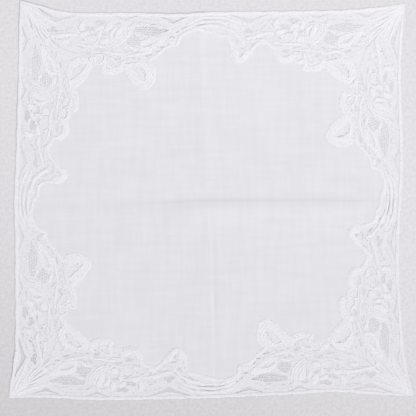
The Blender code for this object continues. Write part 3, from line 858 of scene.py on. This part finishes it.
def newMaterial(name, roughness, sheen):
    material = bpy.data.materials.new(name)
    material.use_nodes = True
    shader = material.node_tree.nodes["Principled BSDF"]
    shader.inputs["Roughness"].default_value = roughness
    shader.inputs["Sheen Weight"].default_value = sheen
    shader.inputs["Sheen Roughness"].default_value = 0.6
    shader.inputs["Specular IOR Level"].default_value = 0.2
    return material, material.node_tree, shader


def placeGroup(tree, group, **values):
    node = tree.nodes.new("ShaderNodeGroup")
    node.node_tree = group
    for label, value in values.items():
        node.inputs[label].default_value = value
    coordinates = tree.nodes.new("ShaderNodeTexCoord")
    tree.links.new(coordinates.outputs["Object"], node.inputs["Vector"])
    return node


def ramp(tree, value, low, high, lowAt=0.0, highAt=1.0):
    # a plain remap of a mask to colours or to greys
    node = tree.nodes.new("ShaderNodeValToRGB")
    node.color_ramp.elements[0].position = lowAt
    node.color_ramp.elements[1].position = highAt
    node.color_ramp.elements[0].color = (*low, 1.0)
    node.color_ramp.elements[1].color = (*high, 1.0)
    tree.links.new(value, node.inputs["Fac"])
    return node.outputs["Color"]


def bump(tree, shader, height, strength, distance):
    node = tree.nodes.new("ShaderNodeBump")
    node.inputs["Strength"].default_value = strength
    node.inputs["Distance"].default_value = distance
    tree.links.new(height, node.inputs["Height"])
    tree.links.new(node.outputs["Normal"], shader.inputs["Normal"])


lawnLook = {
    "thin": (0.798, 0.792, 0.824),
    "thick": (0.816, 0.81, 0.842),
    "threads": 3000.0,  # to a metre
    "sheerest": 0.95,
    "closest": 0.975,
    "streaked": 1.1,  # how much the uneven yarns show
    "clouded": 1.4,  # how much the broad patches show
}


def lawnMaterial():
    material, tree, shader = newMaterial("sheerLawn", 0.88, 0.15)
    weave = placeGroup(tree, groups["weave"], Threads=lawnLook["threads"])
    slubs = placeGroup(tree, groups["slubs"], Spacing=230.0)
    clouds = placeGroup(tree, groups["pinpricks"], Spacing=38.0)
    streaked, clouded = lawnLook["streaked"], lawnLook["clouded"]
    even = 0.5 - 0.5 * (streaked + clouded)
    patches = mathNode(tree, "MULTIPLY_ADD", clouds.outputs["Density"], clouded, even)
    density = mathNode(tree, "MULTIPLY_ADD", slubs.outputs["Streaks"], streaked, patches)
    tree.links.new(ramp(tree, density, lawnLook["thin"], lawnLook["thick"]), shader.inputs["Base Color"])
    sheer = [lawnLook["sheerest"]] * 3
    close = [lawnLook["closest"]] * 3
    cover = ramp(tree, density, sheer, close)
    holes = mathNode(tree, "MULTIPLY", weave.outputs["Pinholes"], 0.12)
    tree.links.new(mathNode(tree, "SUBTRACT", cover, holes), shader.inputs["Alpha"])
    bump(tree, shader, weave.outputs["Height"], 0.35, 0.00008)
    return material


laceLook = {
    "worked": (0.892, 0.884, 0.912),
    "shaded": (0.856, 0.848, 0.876),
    "ground": (0.856, 0.848, 0.874),
    "groundShaded": (0.79, 0.782, 0.808),
    "openest": 0.92,
    "closest": 1.0,
    "groundPricks": 0.35,  # how open the stray pinholes are
    "workedPricks": 0.2,
    "pitch": 0.0012,
}


def groundMaterial():
    material, tree, shader = newMaterial("laceGround", 0.9, 0.1)
    mesh = placeGroup(tree, groups["mesh"], Pitch=laceLook["pitch"])
    pricks = placeGroup(tree, groups["pinpricks"], Spacing=620.0)
    colour = ramp(
        tree, pricks.outputs["Density"], laceLook["groundShaded"], laceLook["ground"], 0.25, 0.7
    )
    tree.links.new(colour, shader.inputs["Base Color"])
    openest, closest = [laceLook["openest"]] * 3, [laceLook["closest"]] * 3
    threads = ramp(tree, mesh.outputs["Thread"], openest, closest, 0.1, 0.4)
    openness = laceLook["groundPricks"]
    holes = mathNode(tree, "MULTIPLY_ADD", pricks.outputs["Cover"], openness, 1 - openness)
    tree.links.new(mathNode(tree, "MULTIPLY", threads, holes), shader.inputs["Alpha"])
    bump(tree, shader, mesh.outputs["Height"], 0.5, 0.00012)
    return material


def clothworkMaterial():
    material, tree, shader = newMaterial("laceClothwork", 0.9, 0.2)
    weave = placeGroup(tree, groups["weave"], Threads=2400.0)
    slubs = placeGroup(tree, groups["slubs"], Spacing=700.0)
    colour = ramp(tree, slubs.outputs["Streaks"], laceLook["shaded"], laceLook["worked"], 0.2, 0.8)
    tree.links.new(colour, shader.inputs["Base Color"])
    pricks = placeGroup(tree, groups["pinpricks"], Spacing=560.0)
    openness = laceLook["workedPricks"]
    holes = mathNode(tree, "MULTIPLY_ADD", pricks.outputs["Cover"], openness, 1 - openness)
    tree.links.new(holes, shader.inputs["Alpha"])
    bump(tree, shader, weave.outputs["Height"], 0.7, 0.00015)
    return material


def cordMaterial():
    material, tree, shader = newMaterial("laceCord", 0.85, 0.25)
    slubs = placeGroup(tree, groups["slubs"], Spacing=1500.0)
    colour = ramp(tree, slubs.outputs["Streaks"], laceLook["shaded"], laceLook["worked"], 0.1, 0.6)
    tree.links.new(colour, shader.inputs["Base Color"])
    bump(tree, shader, slubs.outputs["Streaks"], 0.5, 0.0001)
    return material


materials = {
    "lawn": lawnMaterial(),
    "ground": groundMaterial(),
    "clothwork": clothworkMaterial(),
    "cord": cordMaterial(),
}

# Lawn

lawnSheet = {
    "lift": 0.17,  # above the surface
    "ripple": 0.02,
    "cell": 2.0,
    "foldCell": 0.55,  # finer cells beside the fold lines
    "foldZone": 12.0,
}


def bendLines(low, high):
    middle = cloth["side"] / 2
    zone = lawnSheet["foldZone"]
    fine = np.arange(middle - zone, middle + zone, lawnSheet["foldCell"])
    coarse = np.arange(low, high, lawnSheet["cell"])
    coarse = coarse[np.abs(coarse - middle) > zone + 0.5]
    return np.sort(np.concatenate((fine, coarse)))


def makeLawn():
    outline = np.concatenate([onSquare(side, smoothLine(scallops(side), 1.2)) for side in sideEnds])
    work = bmesh.new()
    work.faces.new([work.verts.new((x, y, 0)) for x, y in outline])
    mesh = bpy.data.meshes.new("lawnOutline")
    work.to_mesh(mesh)
    work.free()
    marks = bendLines(10, 290)
    points, faces = bentSheet(mesh, (marks, marks))
    ripple = lawnSheet["ripple"] * np.sin(points[:, 0] * 0.31) * np.sin(points[:, 1] * 0.27)
    lawn = addMesh("lawn", layOut(points, lawnSheet["lift"] + ripple), faces, materials["lawn"])
    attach(lawn, "root")
    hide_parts("centre_cloth")
    return lawn


# Lace

laceSheet = {
    "groundLift": 0.09,
    "groundThickness": 0.08,
    "bend": 12.0,  # distance between the lines where the ground can bend
    "foldBend": 2.4,  # the same across the folds
    "foldZone": 13.0,
    "cord": 0.14,  # radius of a full outlining cord
    "cordLift": 0.17,
    "gapCord": -0.04,  # how far the cords round gaps and motifs lie below the free ones
    "rimCord": -0.05,
    "net": 0.25,  # radius of a net thread
    "netPitch": 2.1,
    "netLift": 0.14,
    "crossed": 4.4,  # gaps whose two half sizes make more than this are crossed by threads
    "eyelet": 0.34,
    "stray": 0.5,  # how far an eyelet may sit off its row
    "bar": 0.3,  # least width of cloth between two gaps
    "stitch": 2.5,  # distance between the holes along a motif's edge
    "stitchShare": 0.42,  # how many of them are open
    "stitchRoom": 0.5,
    "stitchLength": 0.62,
    "stitchWidth": 0.2,
    "plainTip": 10.0,  # no gap lies nearer than this to a corner
    "plainEnd": 127.0,  # nor any eyelet past here in the second repeat
    "edgeBand": 1.1,  # half width of the band along the outer edge
    "edgeTeeth": 0.2,
    "seamTeeth": 0.85,
    "seamToothStep": 2.7,
    "seamBand": 0.78,  # half width of the band along the scallops
}


def lengthOutline(side):
    edge = onLace(side, 0, leafToPetals)[0]
    start = np.array(cornerJoin[:-1] + (tuple(edge),))
    end = np.array([(cloth["side"] - inwards, along - 0.1) for along, inwards in cornerJoin[1:]])
    inner = smoothLine(scallops(side), 1.2)
    outer = np.column_stack((np.arange(0, cloth["side"] + 1, 10.0), np.zeros(31)))
    return np.concatenate((outer, smoothLine(end, 2.0), inner[::-1], smoothLine(start, 2.0)[::-1][1:-1]))


def stitchHoles(edge):
    # small slits in a row just outside a motif's edge, where it is joined to its ground
    look = laceSheet
    line = smoothLine(edge[::3], look["stitch"], closed=True)
    middle = line.mean(axis=0)
    runs = np.roll(line, -1, axis=0) - np.roll(line, 1, axis=0)
    loops = []
    for spot, run in zip(line, runs):
        if chance.random() > look["stitchShare"]:
            continue
        out = np.array((run[1], -run[0])) / max(np.linalg.norm(run), 1e-6)
        if np.dot(out, spot - middle) < 0:
            out = -out
        along, inwards = spot + look["stitchRoom"] * out
        turn = math.degrees(math.atan2(run[1], run[0])) + chance.uniform(-9, 9)
        length = look["stitchLength"] * chance.uniform(0.6, 1.15)
        loops.append(gapLoop("bean", along, inwards, length, look["stitchWidth"], turn))
    return loops


def slitLoop(line, halfWidth):
    first, second = railsOf(line, halfWidth, "lens")
    return np.concatenate((first, second[::-1]))


def lengthGaps(side, outline, patches):
    # every gap that lies wholly on this length and clear of the ones before it
    tips = np.array(((0.0, 0.0), (cloth["side"], 0.0)))
    loops, kept = [slitLoop(*row) for row in cornerSlits + waistSlits], []
    for line, halfWidth in endSlits:
        fromEnd = np.array(line)
        loops.append(slitLoop(np.column_stack((cloth["side"] - fromEnd[:, 0], fromEnd[:, 1])), halfWidth))
    for repeat in (0, 1):
        rows = gaps + (waistGaps if repeat else ())
        rows += tuple(row for row in slits if repeat == 0 or row[1] < laceSheet["plainEnd"])
        found = [gapLoop(*row) for row in rows]
        found += [smoothLine(window, 1.2, closed=True) for window in netWindows]
        if repeat == 0:
            found.append(smoothLine(cornerGap, 1.2, closed=True))
        for row, spacing in eyeletRows:
            for along, inwards in smoothLine(row, spacing):
                if repeat == 1 and along > laceSheet["plainEnd"]:
                    continue
                size = laceSheet["eyelet"] * chance.uniform(0.75, 1.3)
                stray = [chance.uniform(-1, 1) * laceSheet["stray"] for axis in (0, 1)]
                found.append(gapLoop("bean", along + stray[0], inwards + stray[1], size, size, 0))
        for places, heights, faces, edge in patches:
            found += stitchHoles(edge)
        loops += [onLace(side, repeat, loop) for loop in found]
    edge = smoothLine(outline, 1.0, closed=True)
    middles = np.empty((0, 3))  # a circle around each kept gap
    for loop in loops:
        if not insideLoop(loop, outline).all() or not onThisLength(loop, 0.2).all():
            continue
        if nearest(loop, edge) < laceSheet["bar"] or nearest(loop, tips) < laceSheet["plainTip"]:
            continue
        middle = loop.mean(axis=0)
        reach = np.linalg.norm(loop - middle, axis=1).max()
        apart = np.linalg.norm(middles[:, :2] - middle, axis=1) - middles[:, 2] - reach
        close = np.flatnonzero(apart < laceSheet["bar"])
        if any(nearest(loop, kept[index]) < laceSheet["bar"] for index in close):
            continue
        if any(insideLoop(middle[None], kept[index])[0] for index in close):
            continue
        kept.append(loop)
        middles = np.vstack((middles, (*middle, reach)))
    return kept


def netThreads(window):
    # a six-sided net, each thread kept where its middle lies in the window
    pitch = laceSheet["netPitch"]
    low, high = window.min(axis=0) - pitch, window.max(axis=0) + pitch
    arm = pitch / math.sqrt(3)
    threads = []
    rows = int((high[1] - low[1]) / (1.5 * arm)) + 2
    columns = int((high[0] - low[0]) / pitch) + 2
    for row in range(rows):
        for column in range(columns):
            x = low[0] + (column + 0.5 * (row % 2)) * pitch
            y = low[1] + row * 1.5 * arm
            foot = np.array((x, y))
            for angle in (90, 210, 330):
                way = np.array((math.cos(math.radians(angle)), math.sin(math.radians(angle))))
                threads.append(np.array((foot, foot + arm * way)))
    middles = np.array([thread.mean(axis=0) for thread in threads])
    inside = insideLoop(middles, window)
    return [thread for thread, kept in zip(threads, inside) if kept]


def whereRuns(repeat, where):
    return {"both": True, "first": repeat == 0, "waist": repeat == 1, "corner": repeat == 0}[where]


def makeLength(side):
    look = laceSheet
    outline = lengthOutline(side)
    patches = [leafPatch(*row) for row in leaves] + [spinePatch(*row) for row in clothwork]
    holes = lengthGaps(side, outline, patches)
    middle, zone = cloth["side"] / 2, look["foldZone"]
    broad = np.arange(look["bend"], cloth["side"], look["bend"])
    marks = np.union1d(broad, np.arange(middle - zone, middle + zone, look["foldBend"]))
    flatLoops = [onSquare(side, loop) for loop in [outline] + holes]
    points, faces = cutSheet(flatLoops, (marks, marks))
    name = "lace_" + side
    # flat faces, because smooth ones would shade the sheet by its cut edges
    ground = addMesh(
        name + "_ground",
        layOut(points, look["groundLift"]),
        faces,
        materials["ground"],
        look["groundThickness"],
        smooth=False,
    )

    cordRuns = []
    for hole in holes:
        size = loopArea(hole)
        if size > 1.2:
            share = 0.7 if size < 12 else 0.9
            cordRuns.append((onSquare(side, hole), look["cordLift"] + look["gapCord"], share, True))

    workPoints, workLifts, workFaces = [], [], []
    spots = 0
    for repeat, patch in [(repeat, patch) for repeat in (0, 1) for patch in patches]:
        places, heights, patchFaces, rim = patch
        places = onLace(side, repeat, places)
        keep = onThisLength(places, 0.3)
        centreKept = [face for face in patchFaces if keep[list(face)].all()]
        workPoints.append(onSquare(side, places))
        workLifts.append(heights)
        workFaces += [[spots + corner for corner in face] for face in centreKept]
        spots += len(places)
        rim = onLace(side, repeat, rim)
        for run in keptRuns(rim, onThisLength(rim, 0.3)):
            cordRuns.append((onSquare(side, run), look["cordLift"] + look["rimCord"], 0.85, False))
    for repeat in (0, 1):
        for row in leaves:
            for line in leafVeins(*row):
                run = onLace(side, repeat, line)
                for stretch in keptRuns(run, onThisLength(run, 0.3)):
                    cordRuns.append((onSquare(side, stretch), look["cordLift"] + look["gapCord"], 0.7, False))
    straight = np.array(((1.6, look["edgeBand"]), (cloth["side"] - 1.6, look["edgeBand"])))
    bands = [
        (straight, look["edgeBand"], look["edgeTeeth"]),
        (scallops(side), look["seamBand"], look["seamTeeth"]),
    ]
    for line, halfWidth in cornerStrands:
        strand = np.array(line)
        bands.append((strand, halfWidth, look["edgeTeeth"]))
        mirrored = np.column_stack((cloth["side"] - strand[:, 0], strand[:, 1]))
        bands.append((mirrored, halfWidth, look["edgeTeeth"]))
    bands += [(strand, halfWidth, look["edgeTeeth"]) for strand, halfWidth in waistStrands]
    for spine, halfWidth, teeth in bands:
        places, heights, patchFaces, rim = spinePatch(
            spine, halfWidth, "band", 0.0, teeth, look["seamToothStep"]
        )
        keep = onThisLength(places, 0.6)
        workPoints.append(onSquare(side, places))
        workLifts.append(heights - 0.02)
        workFaces += [[spots + corner for corner in face] for face in patchFaces if keep[list(face)].all()]
        spots += len(places)
        half = len(rim) // 2
        for line in (rim[:half], rim[half:]):
            for run in keptRuns(line, onThisLength(line, 0.6)):
                cordRuns.append((onSquare(side, run), look["cordLift"] + look["gapCord"], 0.8, False))
    for repeat in (0, 1):
        for line, where in cords:
            if not whereRuns(repeat, where):
                continue
            run = onLace(side, repeat, smoothLine(line, 0.9))
            if where == "corner":
                run = smoothLine(line, 0.9)
            for stretch in keptRuns(run, onThisLength(run, 0.3)):
                cordRuns.append((onSquare(side, stretch), look["cordLift"], 1.1, False))
    work = addMesh(
        name + "_clothwork",
        layOut(np.concatenate(workPoints), np.concatenate(workLifts)),
        workFaces,
        materials["clothwork"],
        clothworkLook["thickness"],
    )
    cordPiece = addCords(name + "_cords", cordRuns, look["cord"], materials["cord"])

    windows = [(np.array(window), 1.0) for window in netWindows]
    for row in gaps:
        if row[0] == "bean" and row[3] * row[4] > look["crossed"]:
            windows.append((gapLoop(*row), 0.6))
    netRuns = []
    for repeat in (0, 1):
        for window, share in windows:
            for thread in netThreads(window):
                thread = onLace(side, repeat, thread)
                if onThisLength(thread).all():
                    netRuns.append((onSquare(side, thread), look["netLift"], share, False))
    net = addCords(name + "_net", netRuns, look["net"], materials["cord"])

    for piece in (ground, work, cordPiece, net):
        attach(piece, "root")
    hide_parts(name)
    print("made", name, "with", len(holes), "gaps,", len(workFaces), "cells,", len(cordRuns), "cords")


makeLawn()
print("made the lawn")
for side in sideEnds:
    makeLength(side)

# Floor, light and camera

studio = {
    "floor": (0.734, 0.719, 0.731),
    "floorGrain": 0.95,  # how much the grain shows
    "floorTone": 0.05,  # lightens it all over
    "floorPaintedLightRise": (0.21, 0.49),  # painted light: how it lightens to the right and to the top, to a metre
    "floorPaintedShadeFall": -7.8,  # painted shade: how it dulls above and below the middle, to a square metre
    "floorPaintedShadeTwist": -4.6,  # painted shade: how its right side dulls towards the top, to a square metre
    "floorRange": 0.14,  # share of its colour that the grain and the painted light and shade may make it duller or lighter
    "world": 0.51,
    "keyFrom": (0.42, -0.85, 0.95),  # low and soft, from the lower right
    "keySpread": 18.0,  # degrees
    "keyPower": 1.8,
    "fillPlace": (0.28, 0.48, 0.55),
    "fillSize": 0.3,
    "fillPower": 1.0,
    "frameWidth": 0.3162,  # how much of the floor the view takes in
    "frameCentre": (-0.00266, -0.00608),
    "cameraHeight": 1.5,
}


def makeFloor():
    mesh = bpy.data.meshes.new("floor")
    work = bmesh.new()
    bmesh.ops.create_grid(work, x_segments=1, y_segments=1, size=3.0)
    work.to_mesh(mesh)
    work.free()
    floor = bpy.data.objects.new("floor", mesh)
    bpy.context.scene.collection.objects.link(floor)
    material, tree, shader = newMaterial("paleFloor", 0.95, 0.0)
    grain = placeGroup(tree, groups["pinpricks"], Spacing=420.0)
    split = tree.nodes.new("ShaderNodeSeparateXYZ")
    place = tree.nodes.new("ShaderNodeTexCoord")
    tree.links.new(place.outputs["Object"], split.inputs[0])
    # painted light and shade in the floor's colour: lighter to the right and to the top, duller above and below the
    # middle and as its right side runs to the top
    right, top = studio["floorPaintedLightRise"]
    even = 0.5 - 0.5 * studio["floorGrain"] + studio["floorTone"]
    grainAndPaintedLight = mathNode(tree, "MULTIPLY_ADD", grain.outputs["Density"], studio["floorGrain"], even)
    grainAndPaintedLight = mathNode(tree, "MULTIPLY_ADD", split.outputs["X"], right, grainAndPaintedLight)
    grainAndPaintedLight = mathNode(tree, "MULTIPLY_ADD", split.outputs["Y"], top, grainAndPaintedLight)
    fromMiddle = mathNode(tree, "MULTIPLY", split.outputs["Y"], split.outputs["Y"])
    grainAndPaintedLight = mathNode(tree, "MULTIPLY_ADD", fromMiddle, studio["floorPaintedShadeFall"], grainAndPaintedLight)
    both = mathNode(tree, "MULTIPLY", split.outputs["X"], split.outputs["Y"])
    grainAndPaintedLight = mathNode(tree, "MULTIPLY_ADD", both, studio["floorPaintedShadeTwist"], grainAndPaintedLight)
    dull = [(1 - studio["floorRange"]) * value for value in studio["floor"]]
    light = [(1 + studio["floorRange"]) * value for value in studio["floor"]]
    tree.links.new(ramp(tree, grainAndPaintedLight, dull, light), shader.inputs["Base Color"])
    mesh.materials.append(material)


def makeLight(name, kind, place, size, power):
    data = bpy.data.lights.new(name, kind)
    if kind == "SUN":
        data.angle = math.radians(size)
    else:
        data.size = size
    data.energy = power
    light = bpy.data.objects.new(name, data)
    light.location = place
    aim = -light.location
    light.rotation_euler = aim.to_track_quat("-Z", "Y").to_euler()
    bpy.context.scene.collection.objects.link(light)


def makeStudio():
    makeFloor()
    makeLight("key", "SUN", studio["keyFrom"], studio["keySpread"], studio["keyPower"])
    makeLight("fill", "AREA", studio["fillPlace"], studio["fillSize"], studio["fillPower"])
    world = bpy.data.worlds.new("studio")
    world.use_nodes = True
    world.node_tree.nodes["Background"].inputs["Color"].default_value = (0.97, 0.97, 1.0, 1.0)
    world.node_tree.nodes["Background"].inputs["Strength"].default_value = studio["world"]
    bpy.context.scene.world = world
    data = bpy.data.cameras.new("camera")
    data.lens = data.sensor_width * studio["cameraHeight"] / studio["frameWidth"]
    data.clip_end = 20.0
    camera = bpy.data.objects.new("camera", data)
    camera.location = (*studio["frameCentre"], studio["cameraHeight"])
    bpy.context.scene.collection.objects.link(camera)
    bpy.context.scene.camera = camera
    bpy.context.scene.view_settings.view_transform = "Standard"


makeStudio()
print("set the floor, lights and camera")
